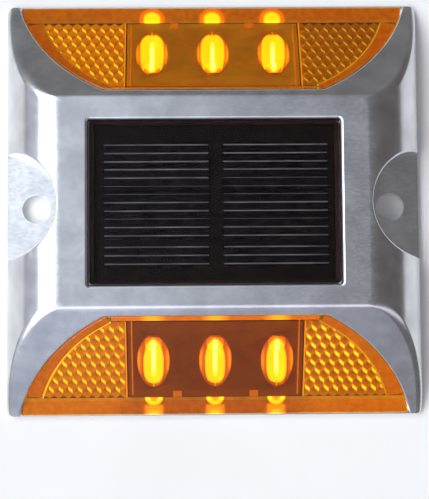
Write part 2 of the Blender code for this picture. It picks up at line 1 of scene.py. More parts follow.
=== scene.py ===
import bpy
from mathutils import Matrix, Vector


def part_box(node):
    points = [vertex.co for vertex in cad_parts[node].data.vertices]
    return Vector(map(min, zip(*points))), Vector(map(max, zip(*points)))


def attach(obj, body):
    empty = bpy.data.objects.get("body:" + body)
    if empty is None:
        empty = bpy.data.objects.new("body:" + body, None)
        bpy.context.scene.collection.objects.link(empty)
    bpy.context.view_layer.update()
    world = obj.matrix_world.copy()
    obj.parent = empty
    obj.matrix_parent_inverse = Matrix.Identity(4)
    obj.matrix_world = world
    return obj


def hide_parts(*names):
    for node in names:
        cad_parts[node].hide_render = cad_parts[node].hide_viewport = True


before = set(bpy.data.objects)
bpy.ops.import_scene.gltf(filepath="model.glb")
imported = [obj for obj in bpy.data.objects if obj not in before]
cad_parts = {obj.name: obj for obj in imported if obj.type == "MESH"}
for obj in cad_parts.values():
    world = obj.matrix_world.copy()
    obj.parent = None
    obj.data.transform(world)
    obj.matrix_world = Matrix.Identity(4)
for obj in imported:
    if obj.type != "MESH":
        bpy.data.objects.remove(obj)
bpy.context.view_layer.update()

import math

import bmesh
import bpy
import numpy as np
from mathutils import Matrix, Vector
from mathutils.geometry import delaunay_2d_cdt

# Lengths are in millimetres and objects are scaled to metres as they are made. The stud's outside sizes come
# from the frame, and the rest repeats the CAD's driving dimensions.
MM = 0.001
SCENE = bpy.context.scene
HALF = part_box("housing")[1].x / MM
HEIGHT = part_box("housing")[1].z / MM

# The shell: its sill, the half sizes of its flat top, and the roundings of shoulders and ridges
SILL = 2.0
PLATEAU_X = 44.5
PLATEAU_Y = 30.5
SIDE_RUN = HALF - PLATEAU_X
RISE = HEIGHT - SILL
SHOULDER = 4.0
RIDGE = 2.0
SLOPE = math.atan2(RISE, HALF - PLATEAU_Y)
UPWARD = Vector((0, math.cos(SLOPE), math.sin(SLOPE)))
OUTWARD = Vector((0, -math.sin(SLOPE), math.cos(SLOPE)))
LEVELS = 34
NEAR = 0.01

# Bolt pockets, with the lean that the pads' shading has outwards
POCKET = 15.7
POCKET_ROUND = 0.55
PAD_TOP = 3.0
PAD_LEAN = math.radians(2.85)
BOLT_X = 52.85
BOLT_HOLE = 4.2

# The window, and the well under its rounded edge
WINDOW = (75.1, 49.9)
WINDOW_ROUND = 1.0
WINDOW_FLOOR = 16.6
WELL_HALF = (WINDOW[0] / 2 - WINDOW_ROUND, WINDOW[1] / 2 - WINDOW_ROUND)
WELL_CORNER = 0.6

# Lenses. Their corners are (distance from the middle, distance up the slope from the outer edge).
LENS_TOP = (32.0, 33.5)
LENS_LOW = (57.6, 0.3)
LENS_BULGE = 4.4
LENS_DEPTH = 2.4
LENS_RIM = 0.5
LENS_GAP = 0.3
RECESS_DEPTH = LENS_DEPTH + LENS_GAP
RECESS_RUN_OUT = 6.0
LENS_EDGE_ROUND = 0.35
LEDGE = 2.4
LEDGE_DEPTH = 5.2

# The shell's inside, with the bosses for the base plate's screws
RIM = (57.0, 58.0)
BASE_TOP = 1.9
HOLLOW_X = 53.0
HOLLOW_TOP = 14.1
POCKET_WALL = 2.8
WINDOW_HOLE = (64.0, 41.0)
HOLE_CORNER = 2.0
SCREW = (48.0, 24.0)
BOSS_RADIUS = 3.5
SCREW_HOLE = 1.55
SCREW_TOP = 8.6

# Prism fields, with corners as on the lens, and their lattice of corner cubes
PRISM_INNER_X = 25.9
PRISM_LOW = (51.0, 5.3)
PRISM_TOP = (30.6, 30.6)
PRISM_BULGE = 3.4
PRISM_DEPTH = 1.2
PRISM_PITCH = (2.8, 2.9)
PRISM_HEIGHT = 0.55
PRISM_START = 4.4
PRISM_ROWS = range(-1, 12)
PRISM_COLUMNS = {1: range(8, 21), -1: range(-21, -7)}
STEP_DEPTH = 1.0
STEP_WIDTH = 0.35
# Each field as (side, strength of its painted glints, strength of the painted highlight on its outer step), for the
# front and the rear lens; lower numbers paint a field as shaded
FIELDS = (((-1, 0.95, 1.0), (1, 1.05, 0.5)), ((-1, 0.85, 0.25), (1, 0.42, 0.45)))

# What is drawn just behind the lens's back: the strip, lip, ribs and tabs
BEHIND_GAP = 0.03
BEHIND_TOP = -LENS_DEPTH - BEHIND_GAP
BEHIND_LOW = -LENS_DEPTH - 0.24
STRIP_X = 57.5
STRIP_START = 61.2
STRIP_Z = 2.15
STRIP_GRID = 0.25
STRIP_SIDE = ((57.0, -2), (57.0, 0.8), (55.7, 5.4))
LIP_X = 30.0
LIP = (31.3, 32.7)
LIP_POINTS = 121
RIB_X = 24.3
RIB_HALF = 0.2
RIB = (6.2, 31.6)
TABS = ((-12.4, -9.8), (10.2, 12.7))
TAB = (5.4, 7.4)

# LED holders, cups and LEDs. BULLET_HALF is the half width of the painted LED light in a front and in a rear cup.
HOLDER_X = 25.5
HOLDER_LOW = 5.3
HOLDER_TOP = 30.7
HOLDER_PLATE = 1.5
HOLDER_BACK = 34.9
LED_PITCH = 18.1
LED_Z = 9.1
LED_BACK = 33.6
LED_RADIUS = 2.5
LED_FLANGE = 0.4
LED_LENGTH = 8.7
LEG_RADIUS = 0.3
LEG_SPACING = 2.54
CUP_RADIUS = 4.8
CUP_BACK = 37.9
BULLET_HALF = (2.9, 3.5)

# The silver lines on the solar cells, and those that are worn thin
FINGER_PITCH = 2.45
FINGER_HALF = 0.16
FINGER_FAINT = 0.05
FAINT_LINES = {"left": (5, 6, 9), "right": (4, 5, 6, 9)}

# Light given off by the LEDs, and painted light: the LEDs' light painted on the cups, lip, ribs, tabs and strips,
# and painted glints, highlights and shade on the prisms and their steps, all given as emission. White paper is
# about 1.
LED_AND_PAINTED_LIGHT = {name: np.array(colour) for name, colour in {
    # painted glints, painted shade and painted highlights on the corner cubes and their steps
    "prism flash": (1.7, 1.7, 0.16),
    "prism middle": (0.12, 0.04, 0.0),
    "prism crest": (0.36, 0.155, 0.0),
    "outer step": (1.1, 1.1, 0.03),
    "inner step": (0.8, 0.42, 0.01),
    # painted LED light on the rims, lips, ribs and tabs, painted weaker on the rear lens
    "front edge": (0.29, 0.105, 0.0),
    "rear edge": (0.18, 0.055, 0.0),
    "front lip": (0.5, 0.18, 0.0),
    "front lip beam": (1.2, 0.8, 0.02),
    "rear lip": (0.26, 0.1, 0.0),
    "rib": (0.42, 0.16, 0.0),
    "tab": (0.34, 0.12, 0.0),
    # painted second images of the LEDs in the front and rear strips
    "front strip": (0.16, 0.045, 0.0),
    "front strip end": (0.16, 0.09, 0.0),
    "block": (1.0, 0.45, 0.005),
    "block middle": (1.2, 0.9, 0.01),
    "smile middle": (0.7, 0.36, 0.0),
    "smile": (1.5, 1.25, 0.02),
    "rear strip": (0.14, 0.05, 0.004),
    "halo": (0.9, 0.22, 0.0),
    "disc": (1.6, 1.3, 0.02),
    # painted LED light on the cups: sides, a painted highlight at the rim, bullet and streak
    "cup side": (0.34, 0.075, 0.0),
    "cup rim": (0.55, 0.24, 0.0),
    "bullet": (1.5, 1.25, 0.02),
    "bullet streak": (5.5, 6.0, 4.0),
    # the LEDs' own light
    "led back": (0.45, 0.12, 0.0),
    "led dome": (1.6, 1.15, 0.02),
    "led streak": (6.5, 6.5, 4.5),
}.items()}

# Camera: almost straight down, a little from the front, as the stud is held up to be seen
CAMERA_PLACE = (-10.52, -56.07, 497.94)
CAMERA_TURNS = ((-13.75, "Z"), (5.20, "X"), (13.32, "Z"))
CAMERA_SENSOR = 36.0
CAMERA_LENS = 120.1

# Light panels: the middle and half size as tilts from straight up in degrees, towards +X and towards +Y, how
# soft the edges are, and the light. DOME is the dim light all round, at -X and at +X.
PANELS = (
    (-12, 0, 14, 60, 16, (0.46, 0.52, 0.62)),
    (-34, 0, 16, 45, 10, (4.2, 4.4, 4.6)),
    (-72, 0, 16, 55, 12, (0.3, 0.32, 0.4)),
    (10, -28, 60, 9, 10, (0.95, 0.9, 1.08)),
    (-30, -64, 45, 14, 16, (0.26, 0.28, 0.38)),
)
DOME = ((0.3, 0.3, 0.31), (0.14, 0.13, 0.125))
FLOOR_HALF = 3000


# Finishes: every one has blotches of two colours and fine grain in its relief and roughness

FACTOR, COLOUR_A, COLOUR_B, MIXED = 0, 6, 7, 2  # a Mix node's colour inputs and its output


def link(source, socket, target, slot):
    source.id_data.links.new(source.outputs[socket], target.inputs[slot])


def new_node(tree, kind, values={}, **settings):
    """A node of a kind, with values for its inputs and with its settings."""
    node = tree.nodes.new("ShaderNode" + kind)
    for name, value in settings.items():
        setattr(node, name, value)
    for slot, value in values.items():
        node.inputs[slot].default_value = value
    return node


def ranged(source, socket, from_low, from_high, low, high, shape="LINEAR"):
    """A Map Range node fed by a socket."""
    values = {"From Min": from_low, "From Max": from_high, "To Min": low, "To Max": high}
    node = new_node(source.id_data, "MapRange", values, interpolation_type=shape)
    link(source, socket, node, "Value")
    return node


def noise(tree, size, stretch=(1, 1, 1)):
    """Noise with features of a size in mm, stretched along the axes."""
    scale = new_node(tree, "Mapping", {"Scale": [1 / (size * MM * s) for s in stretch]})
    link(new_node(tree, "TexCoord"), "Object", scale, "Vector")
    pattern = new_node(tree, "TexNoise", {"Scale": 1.0, "Detail": 3.0})
    link(scale, "Vector", pattern, "Vector")
    return pattern


def mixed(factor, socket, first, second):
    """A colour mix driven by a socket. Each colour is a value or a (node, socket) pair."""
    node = new_node(factor.id_data, "Mix", data_type="RGBA")
    link(factor, socket, node, FACTOR)
    for slot, colour in ((COLOUR_A, first), (COLOUR_B, second)):
        if isinstance(colour[0], bpy.types.Node):
            link(*colour, node, slot)
        else:
            node.inputs[slot].default_value = (*colour, 1.0)
    return node


def added(first, second):
    node = new_node(first.id_data, "Mix", {FACTOR: 1.0}, data_type="RGBA", blend_type="ADD")
    link(first, MIXED, node, COLOUR_A)
    link(second, MIXED, node, COLOUR_B)
    return node


def finish(name, colours, roughness, metallic=0.0, blotch=6.0, grain=0.35, stretch=(1, 1, 1), bump=0.1, wear=0.0,
           glowing=False, more={}):
    """colours are the two blotch colours, roughness is its range, and blotch and grain are sizes in mm. Edges
    are lighter by wear, a glowing finish shines with the LED light and painted light of its mesh's glow attribute,
    and more goes to the shader."""
    material = bpy.data.materials.new(name)
    material.use_nodes = True
    tree = material.node_tree
    shader = tree.nodes["Principled BSDF"]
    colour = mixed(ranged(noise(tree, blotch), "Fac", 0.35, 0.65, 0.0, 1.0), "Result", *colours)
    if wear:
        edge = ranged(new_node(tree, "NewGeometry"), "Pointiness", 0.51, 0.6, 0.0, wear)
        lighter = [min(1.0, channel * 1.25 + 0.06) for channel in colours[1]]
        colour = mixed(edge, "Result", (colour, MIXED), lighter)
    link(colour, MIXED, shader, "Base Color")
    fine = noise(tree, grain, stretch)
    link(ranged(fine, "Fac", 0.3, 0.7, *roughness), "Result", shader, "Roughness")
    relief = new_node(tree, "Bump", {"Strength": bump, "Distance": 0.1 * MM})
    link(fine, "Fac", relief, "Height")
    link(relief, "Normal", shader, "Normal")
    values = {"Metallic": metallic, **more}
    if glowing:
        # the LEDs' light and the painted light come from the mesh's glow attribute as emission
        link(new_node(tree, "Attribute", attribute_name="glow"), "Color", shader, "Emission Color")
        values["Emission Strength"] = 1.0
    for slot, value in values.items():
        shader.inputs[slot].default_value = value
    return material


ALONG_X = (3.0, 1.0, 1.0)
DULL = {"Specular IOR Level": 0.12}
CLEAR = dict(blotch=9.0, grain=2.5, bump=0.01)
PLASTIC = dict(blotch=5.0, grain=0.4, bump=0.12, wear=0.4)

# Each finish as its two blotch colours, its range of roughness, and what else it has
FINISHES = {
    "cast_aluminium": ((0.59, 0.6, 0.62), (0.73, 0.74, 0.76), (0.18, 0.27),
        dict(metallic=1.0, blotch=8.0, grain=0.45, stretch=ALONG_X, bump=0.006, wear=0.5)),
    "amber_lens": ((1.0, 0.56, 0.07), (1.0, 0.62, 0.1), (0.02, 0.06),
        dict(**CLEAR, more={"Transmission Weight": 1.0, "IOR": 1.36})),
    # lens_prisms, lens_strip and cup_reflector shine with painted light from their meshes' glow attribute
    "lens_prisms": ((0.5, 0.36, 0.08), (0.62, 0.45, 0.12), (0.1, 0.2),
        dict(metallic=1.0, blotch=3.0, grain=0.4, bump=0.05, glowing=True)),
    "lens_strip": ((0.34, 0.18, 0.04), (0.46, 0.25, 0.06), (0.35, 0.55), dict(blotch=2.0, grain=0.5, glowing=True)),
    "brown_plastic": ((0.19, 0.07, 0.01), (0.25, 0.09, 0.015), (0.35, 0.5), PLASTIC),
    # the rear holder's brown plastic, painted lighter: the light on the rear holder is painted into its colour
    "brown_plastic_painted_lit": ((0.42, 0.36, 0.12), (0.52, 0.44, 0.14), (0.35, 0.5), PLASTIC),
    "cup_reflector": ((0.26, 0.1, 0.01), (0.34, 0.14, 0.02), (0.25, 0.4),
        dict(metallic=0.4, blotch=3.0, glowing=True)),
    "led_epoxy": ((1.0, 0.7, 0.12), (1.0, 0.62, 0.08), (0.05, 0.12), dict(blotch=2.0, bump=0.03, glowing=True)),
    "clear_cover": ((0.8, 0.76, 0.74), (0.74, 0.72, 0.72), (0.03, 0.08),
        dict(**CLEAR, more={"Transmission Weight": 1.0, "IOR": 1.12})),
    "seal_rubber": ((0.024, 0.011, 0.01), (0.036, 0.016, 0.013), (0.5, 0.7), dict(more=DULL)),
    "silicon_cell": ((0.005, 0.004, 0.005), (0.009, 0.007, 0.008), (0.25, 0.3),
        dict(blotch=9.0, grain=1.5, stretch=ALONG_X, bump=0.005, more=DULL)),
    "silver_finger": ((0.13, 0.13, 0.135), (0.25, 0.25, 0.255), (0.4, 0.6), dict(blotch=7.0, more=DULL)),
    "solar_board": ((0.006, 0.003, 0.003), (0.011, 0.006, 0.005), (0.35, 0.5), dict(blotch=5.0, more=DULL)),
    "circuit_board": ((0.02, 0.15, 0.06), (0.03, 0.21, 0.09), (0.3, 0.45), dict(blotch=3.0)),
    "chip_plastic": ((0.02, 0.02, 0.02), (0.03, 0.03, 0.03), (0.45, 0.6), dict(blotch=1.5)),
    "ferrite": ((0.05, 0.05, 0.055), (0.08, 0.08, 0.085), (0.5, 0.7), dict(blotch=1.0, bump=0.2)),
    "capacitor_sleeve": ((0.02, 0.04, 0.12), (0.03, 0.06, 0.17), (0.3, 0.4), {}),
    "battery_wrap": ((0.04, 0.25, 0.1), (0.05, 0.3, 0.13), (0.3, 0.42), dict(blotch=8.0)),
    "nickel": ((0.6, 0.58, 0.53), (0.7, 0.68, 0.62), (0.22, 0.38),
        dict(metallic=1.0, blotch=3.0, grain=0.2, wear=0.4)),
    "base_plastic": ((0.075, 0.075, 0.08), (0.1, 0.1, 0.105), (0.5, 0.66),
        dict(blotch=10.0, grain=0.5, bump=0.3, wear=0.5)),
    "sealant": ((0.5, 0.5, 0.48), (0.6, 0.6, 0.57), (0.55, 0.75), dict(blotch=4.0, grain=1.2, bump=0.4)),
    "screw_steel": ((0.5, 0.5, 0.51), (0.62, 0.62, 0.63), (0.22, 0.4),
        dict(metallic=1.0, blotch=1.5, grain=0.2, wear=0.6)),
    "red_insulation": ((0.5, 0.03, 0.02), (0.6, 0.05, 0.03), (0.4, 0.55), {}),
    "black_insulation": ((0.018, 0.018, 0.018), (0.03, 0.03, 0.03), (0.4, 0.55), {}),
    "floor": ((0.76, 0.75, 0.73), (0.79, 0.78, 0.76), (0.5, 0.6), dict(blotch=60.0, grain=3.0, bump=0.02)),
}
MATERIALS = {name: finish(name, row[:2], row[2], **row[3]) for name, row in FINISHES.items()}


# Outlines: lists of 2-D points, counter-clockwise


def turn(centre, radius, start, end, steps):
    """Points on a circle between two angles in degrees."""
    angles = [math.radians(start + (end - start) * step / steps) for step in range(steps + 1)]
    return [Vector((centre[0] + radius * math.cos(a), centre[1] + radius * math.sin(a))) for a in angles]


def circle(centre, radius, sides):
    return turn(centre, radius, 0, 360 - 360 / sides, sides - 1)


def arc(start, end, bulge, steps=24):
    """Points on the arc from start to end that stands out to the right of its chord by bulge."""
    start, end = Vector(start), Vector(end)
    chord = end - start
    radius = (chord.length**2 / 4 + bulge**2) / (2 * bulge)
    right = Vector((chord.y, -chord.x)).normalized()
    centre = (start + end) / 2 - right * (radius - bulge)
    first = math.degrees(math.atan2(start.y - centre.y, start.x - centre.x))
    sweep = math.degrees(2 * math.asin(chord.length / 2 / radius))
    return turn(centre, radius, first, first + sweep, steps)


def line(start, end, steps):
    start, end = Vector(start), Vector(end)
    return [start.lerp(end, step / steps) for step in range(steps + 1)]


def rectangle(half_x, half_y, radius, corner_steps=6, side_steps=1):
    """A rectangle with round corners, its straight sides split into side_steps."""
    points = []
    for start, x, y in ((0, 1, 1), (90, -1, 1), (180, -1, -1), (270, 1, -1)):
        centre = (x * (half_x - radius), y * (half_y - radius))
        points += turn(centre, radius, start, start + 90, corner_steps)
    if side_steps == 1:
        return points
    split = []
    for here, after in zip(points, points[1:] + points[:1]):
        long_side = (after - here).length > 0.9 * min(half_x, half_y)
        split += line(here, after, side_steps)[:-1] if long_side else [here]
    return split


def grown(outline, distance):
    """The outline with every side moved outwards by distance."""
    moved = []
    for before, here, after in zip(outline[-1:] + outline[:-1], outline, outline[1:] + outline[:1]):
        first = Vector((here.y - before.y, before.x - here.x)).normalized()
        second = Vector((after.y - here.y, here.x - after.x)).normalized()
        moved.append(here + (first + second) * distance / (1 + first.dot(second)))
    return moved


def mirrored(outline):
    return [Vector((-point.x, point.y)) for point in reversed(outline)]


def level(outline, z):
    """The outline's points at a height."""
    return [(point.x, point.y, z) for point in outline]


def lens_outline(inset=0.0):
    """The lens on the slope, drawn in by inset: x across it, s up it from the outer edge."""
    first, second, last = arc(LENS_LOW, LENS_TOP, LENS_BULGE, 2)
    chord = (last - first).length
    radius = (chord**2 / 4 + LENS_BULGE**2) / (2 * LENS_BULGE)
    centre = second + ((first + last) / 2 - second).normalized() * radius
    low = math.asin((LENS_LOW[1] + inset - centre.y) / (radius - inset))
    high = math.asin((LENS_TOP[1] - inset - centre.y) / (radius - inset))
    right = turn(centre, radius - inset, math.degrees(low), math.degrees(high), 24)
    return right + mirrored(right)


# The shell's upper surface, as a height over the plan


def half_width(z):
    """How far the outside reaches along X at a height, and how fast that changes."""
    u = np.clip((z - SILL) / RISE, 0.0, 1.0 - 1e-9)
    root = np.sqrt(1.0 - u**2)
    return PLATEAU_X + SIDE_RUN * root, -SIDE_RUN * u / (RISE * root)


def half_depth(z):
    """The same along Y: a straight slope with a rounded shoulder."""
    tangent_y = PLATEAU_Y - SHOULDER * math.tan(SLOPE / 2)
    start = HEIGHT - SHOULDER * (1 - math.cos(SLOPE))
    climb = np.clip(z - (HEIGHT - SHOULDER), 0.0, SHOULDER * (1 - 1e-9))
    root = np.sqrt(SHOULDER**2 - climb**2)
    straight = HALF - (z - SILL) / math.tan(SLOPE)
    reach = np.where(z > start, tangent_y + root, straight)
    return reach, np.where(z > start, -climb / root, -1 / math.tan(SLOPE))


def section_gap(x, y, z):
    """Distance outside the rounded section at height z, and its direction in the plan."""
    across = np.abs(x) - half_width(z)[0] + RIDGE
    along = np.abs(y) - half_depth(z)[0] + RIDGE
    corner = np.hypot(np.maximum(across, 0), np.maximum(along, 0))
    distance = np.minimum(np.maximum(across, along), 0) + corner - RIDGE
    both = (across > 0) & (along > 0)
    size = np.where(both, np.maximum(corner, 1e-9), 1.0)
    push_x = np.where(both, across / size, across > along)
    push_y = np.where(both, along / size, across <= along)
    return distance, push_x, push_y


def shell_height(x, y):
    low = np.full(x.shape, SILL)
    high = np.full(x.shape, HEIGHT)
    for _ in range(50):
        middle = (low + high) / 2
        outside = section_gap(x, y, middle)[0] > 0
        high = np.where(outside, middle, high)
        low = np.where(outside, low, middle)
    return (low + high) / 2


def shell_normal(x, y, z):
    _, push_x, push_y = section_gap(x, y, z)
    rise = -(push_x * half_width(z)[1] + push_y * half_depth(z)[1])
    normal = np.stack([push_x * np.sign(x), push_y * np.sign(y), rise], axis=-1)
    normal[z > HEIGHT - 1e-4] = (0, 0, 1)
    return normal / np.linalg.norm(normal, axis=-1, keepdims=True)


# Roundings of the rims, as distances outside each opening


def pocket_gap(x, y):
    return np.hypot(np.abs(x) - HALF, y) - POCKET


def rectangle_gap(x, y, half_x, half_y, radius):
    across = np.abs(x) - half_x + radius
    along = np.abs(y) - half_y + radius
    return np.minimum(np.maximum(across, along), 0) + np.hypot(np.maximum(across, 0), np.maximum(along, 0)) - radius

def well_gap(x, y):
    return rectangle_gap(x, y, *WELL_HALF, WELL_CORNER)


def polygon_gap(x, y, outline):
    """Distance to a closed outline, negative inside it."""
    points = np.array(outline)
    ends = np.roll(points, -1, axis=0)
    best = np.full(x.shape, 1e9)
    inside = np.zeros(x.shape, bool)
    for (ax, ay), (bx, by) in zip(points, ends):
        dx, dy = bx - ax, by - ay
        t = np.clip(((x - ax) * dx + (y - ay) * dy) / (dx * dx + dy * dy), 0, 1)
        best = np.minimum(best, np.hypot(x - ax - t * dx, y - ay - t * dy))
        crosses = (ay > y) != (by > y)
        inside ^= crosses & (x < ax + (y - ay) * dx / (dy if abs(dy) > 1e-12 else 1e-12))
    return np.where(inside, -best, best)


def rounding(distance, radius):
    """A rounded rim's drop under the surface and the sine of its tilt, at a distance from the opening."""
    inward = np.clip(1.0 - distance / radius, 0.0, 1.0)
    return radius * (1.0 - np.sqrt(1.0 - inward**2)), inward


def rim_loops(radius, steps=5):
    """Distances at which a rim's rounding gets a ring of points."""
    return [radius * (1 - math.sin(math.radians(90) * step / steps)) for step in range(steps + 1)]


def notched(half_x, half_y, notch_radius):
    """A rectangle with a round bite at each bolt pad."""
    swing = math.degrees(math.acos((HALF - half_x) / notch_radius))
    corner = 3.0
    right = turn((half_x - corner, corner - half_y), corner, -90, 0, 6)
    right += turn((HALF, 0), notch_radius, 180 + swing, 180 - swing, 32)
    right += turn((half_x - corner, half_y - corner), corner, 0, 90, 6)
    return right + [-point for point in right]


def to_plan(outline):
    """An outline on the front slope, seen from above."""
    return [Vector((point.x, -HALF + point.y * UPWARD.y)) for point in outline]


def recess_outline():
    """The lens's recess on the slope, run out past the outer edge."""
    outline = lens_outline()
    run_out = [Vector((outline[end].x, -RECESS_RUN_OUT)) for end in (-1, 0)]
    return grown(outline + run_out, LENS_GAP)


# Solids


def mesh_object(name, points, faces, material, smooth=True):
    mesh = bpy.data.meshes.new(name)
    mesh.from_pydata([Vector(point) * MM for point in points], [], faces)
    shape = bmesh.new()
    shape.from_mesh(mesh)
    bmesh.ops.recalc_face_normals(shape, faces=shape.faces)
    shape.to_mesh(mesh)
    shape.free()
    mesh.materials.append(material)
    piece = bpy.data.objects.new(name, mesh)
    SCENE.collection.objects.link(piece)
    if smooth:
        mesh.shade_smooth()
    return piece


def loft(rings):
    """A closed solid (points, faces) through rings of as many points each, lowest first."""
    size = len(rings[0])
    points = [point for ring in rings for point in ring]
    faces = []
    for level in range(len(rings) - 1):
        for i in range(size):
            j = (i + 1) % size
            low, high = level * size, (level + 1) * size
            faces.append((low + i, low + j, high + j, high + i))
    faces.append(tuple(reversed(range(size))))
    top = (len(rings) - 1) * size
    faces.append(tuple(range(top, top + size)))
    return points, faces


def prism(outline, low, high):
    return loft([level(outline, z) for z in (low, high)])


def box(low, high):
    corners = ((low[0], low[1]), (high[0], low[1]), (high[0], high[1]), (low[0], high[1]))
    return prism([Vector(corner) for corner in corners], low[2], high[2])


def cylinder(centre, radius, low, high, sides=40):
    return prism(circle(centre, radius, sides), low, high)


def turned(profile, sides=48):
    """A solid turned about Z from (radius, height) points, lowest first."""
    return loft([level(circle((0, 0), radius, sides), z) for radius, z in profile])


def about_face(solid):
    """A solid turned from the front half to the rear half."""
    points, faces = solid
    return [(-x, -y, z) for x, y, z in points], faces


def on_slope(solid, rear=False):
    """Puts a solid drawn with x across, y up and z out of the slope on the front or rear slope."""
    points, faces = solid
    moved = [tuple(Vector((x, -HALF, SILL)) + UPWARD * s + OUTWARD * out) for x, s, out in points]
    return about_face((moved, faces)) if rear else (moved, faces)


def lying(solid, x, y):
    """Lays a solid drawn about +Z along -Y, through (x, y) at the LEDs' height."""
    points, faces = solid
    return [(x + px, y - pz, LED_Z + py) for px, py, pz in points], faces


def merged(solids):
    points, faces = [], []
    for more_points, more_faces in solids:
        start = len(points)
        points += list(more_points)
        faces += [tuple(vertex + start for vertex in face) for face in more_faces]
    return points, faces


def solid_of(piece):
    """Points and faces of a helper piece, which is then removed."""
    solid = ([tuple(v.co / MM) for v in piece.data.vertices], [tuple(f.vertices) for f in piece.data.polygons])
    bpy.data.objects.remove(piece, do_unlink=True)
    return solid


def combine(piece, solids, operation="DIFFERENCE"):
    """Cuts solids out of a piece, or keeps only what is in them, and leaves a plain mesh."""
    for solid in solids:
        tool = mesh_object("tool", *solid, piece.data.materials[0], smooth=False)
        step = piece.modifiers.new("step", "BOOLEAN")
        step.operation = operation
        step.solver = "MANIFOLD"
        step.object = tool
        bpy.context.view_layer.update()
        graph = bpy.context.evaluated_depsgraph_get()
        mesh = bpy.data.meshes.new_from_object(piece.evaluated_get(graph))
        piece.modifiers.clear()
        piece.data = mesh
        bpy.data.objects.remove(tool, do_unlink=True)


def soften(piece, angle):
    """Smooth shading, with edges sharper than an angle in degrees left sharp."""
    piece.data.shade_smooth()
    piece.data.set_sharp_from_angle(angle=math.radians(angle))


# Shell

SKIN, FRONT_LENS, REAR_LENS, LEFT_POCKET, RIGHT_POCKET, WELL, HOLE = range(7)


def plan_loops():
    """Every line that the shell's triangles must follow, seen from above, as (points, closed)."""
    loops = []
    heights = [SILL + RISE * math.sin(math.radians(90) * step / LEVELS) for step in range(LEVELS)]
    reaches = [float(half_width(z)[0]) for z in heights] + [PLATEAU_X]
    for x, z in zip(reaches, heights + [HEIGHT]):
        loops.append((rectangle(x, float(half_depth(z)[0]), RIDGE, 10, 44), True))
    for side in (-1, 1):
        middle = 180 if side > 0 else 0
        for distance in rim_loops(POCKET_ROUND):
            loops.append((turn((side * HALF, 0), POCKET + distance, middle - 110, middle + 110, 88), False))
        for radius in (BOLT_HOLE, BOLT_HOLE + 0.4):
            loops.append((circle((side * BOLT_X, 0), radius, 48), True))
    for distance in rim_loops(WINDOW_ROUND):
        sides = [half + distance for half in WELL_HALF]
        loops.append((rectangle(*sides, WELL_CORNER + distance, 8, 12), True))
    for rear in (False, True):
        for distance in rim_loops(LENS_EDGE_ROUND, 3):
            outline = to_plan(grown(recess_outline(), distance))
            loops.append(([-point for point in outline] if rear else outline, True))
    return loops


def region_of(x, y):
    """Which part of the shell's top each plan point is in."""
    region = np.full(x.shape, SKIN)
    recess = to_plan(recess_outline())
    region[polygon_gap(x, y, recess) < 0] = FRONT_LENS
    region[polygon_gap(-x, -y, recess) < 0] = REAR_LENS
    pocket = pocket_gap(x, y) < 0
    region[pocket & (x < 0)] = LEFT_POCKET
    region[pocket & (x > 0)] = RIGHT_POCKET
    region[well_gap(x, y) < 0] = WELL
    outside = rectangle_gap(x, y, HALF, HALF, RIDGE) > 0
    hole = np.hypot(np.abs(x) - BOLT_X, y) < BOLT_HOLE
    region[outside | hole] = HOLE
    return region


def skin_point(x, y):
    """Height of the upper surface with its rounded rims, and its normal."""
    z = shell_height(x, y)
    normal = shell_normal(x, y, z)
    recess = recess_outline()

    def recess_gap(px, py):
        front = polygon_gap(px, (py + HALF) / UPWARD.y, recess)
        rear = polygon_gap(-px, (-py + HALF) / UPWARD.y, recess)
        return np.minimum(front, rear)

    rims = (
        (pocket_gap, POCKET_ROUND),
        (well_gap, WINDOW_ROUND),
        (recess_gap, LENS_EDGE_ROUND),
    )
    for gap, radius in rims:
        distance = gap(x, y)
        drop, tilt = rounding(distance, radius)
        near = (distance < radius) & (distance > -NEAR)
        step = 1e-3
        away_x = (gap(x + step, y) - gap(x - step, y)) / (2 * step)
        away_y = (gap(x, y + step) - gap(x, y - step)) / (2 * step)
        size = np.maximum(np.hypot(away_x, away_y), 1e-6)
        towards = -np.stack([away_x / size, away_y / size, np.zeros_like(x)], axis=-1)
        flat = np.sqrt(1 - np.clip(tilt, 0, 1) ** 2)
        bent = normal * flat[:, None] + towards * tilt[:, None]
        bent /= np.maximum(np.linalg.norm(bent, axis=-1, keepdims=True), 1e-9)
        normal = np.where(near[:, None], bent, normal)
        z = np.where(near, np.maximum(z - drop, np.minimum(z, PAD_TOP)), z)
    return z, normal


def lens_floor(x, y):
    """The recess's floor: pushed in from the slope, and no lower than the sill's top."""
    s = (y + HALF) / UPWARD.y
    depth = np.clip(s * UPWARD.z / OUTWARD.z, 0, RECESS_DEPTH)
    return x, y - OUTWARD.y * depth, SILL + s * UPWARD.z - OUTWARD.z * depth


def region_point(x, y, region):
    """Place of a point of the shell's top in its region."""
    if region == SKIN:
        return x, y, skin_point(x, y)[0]
    if region == FRONT_LENS:
        return lens_floor(x, y)
    if region == REAR_LENS:
        px, py, pz = lens_floor(-x, -y)
        return -px, -py, pz
    if region == WELL:
        return x, y, np.full(x.shape, WINDOW_FLOOR)
    return x, y, np.minimum(skin_point(x, y)[0], PAD_TOP)


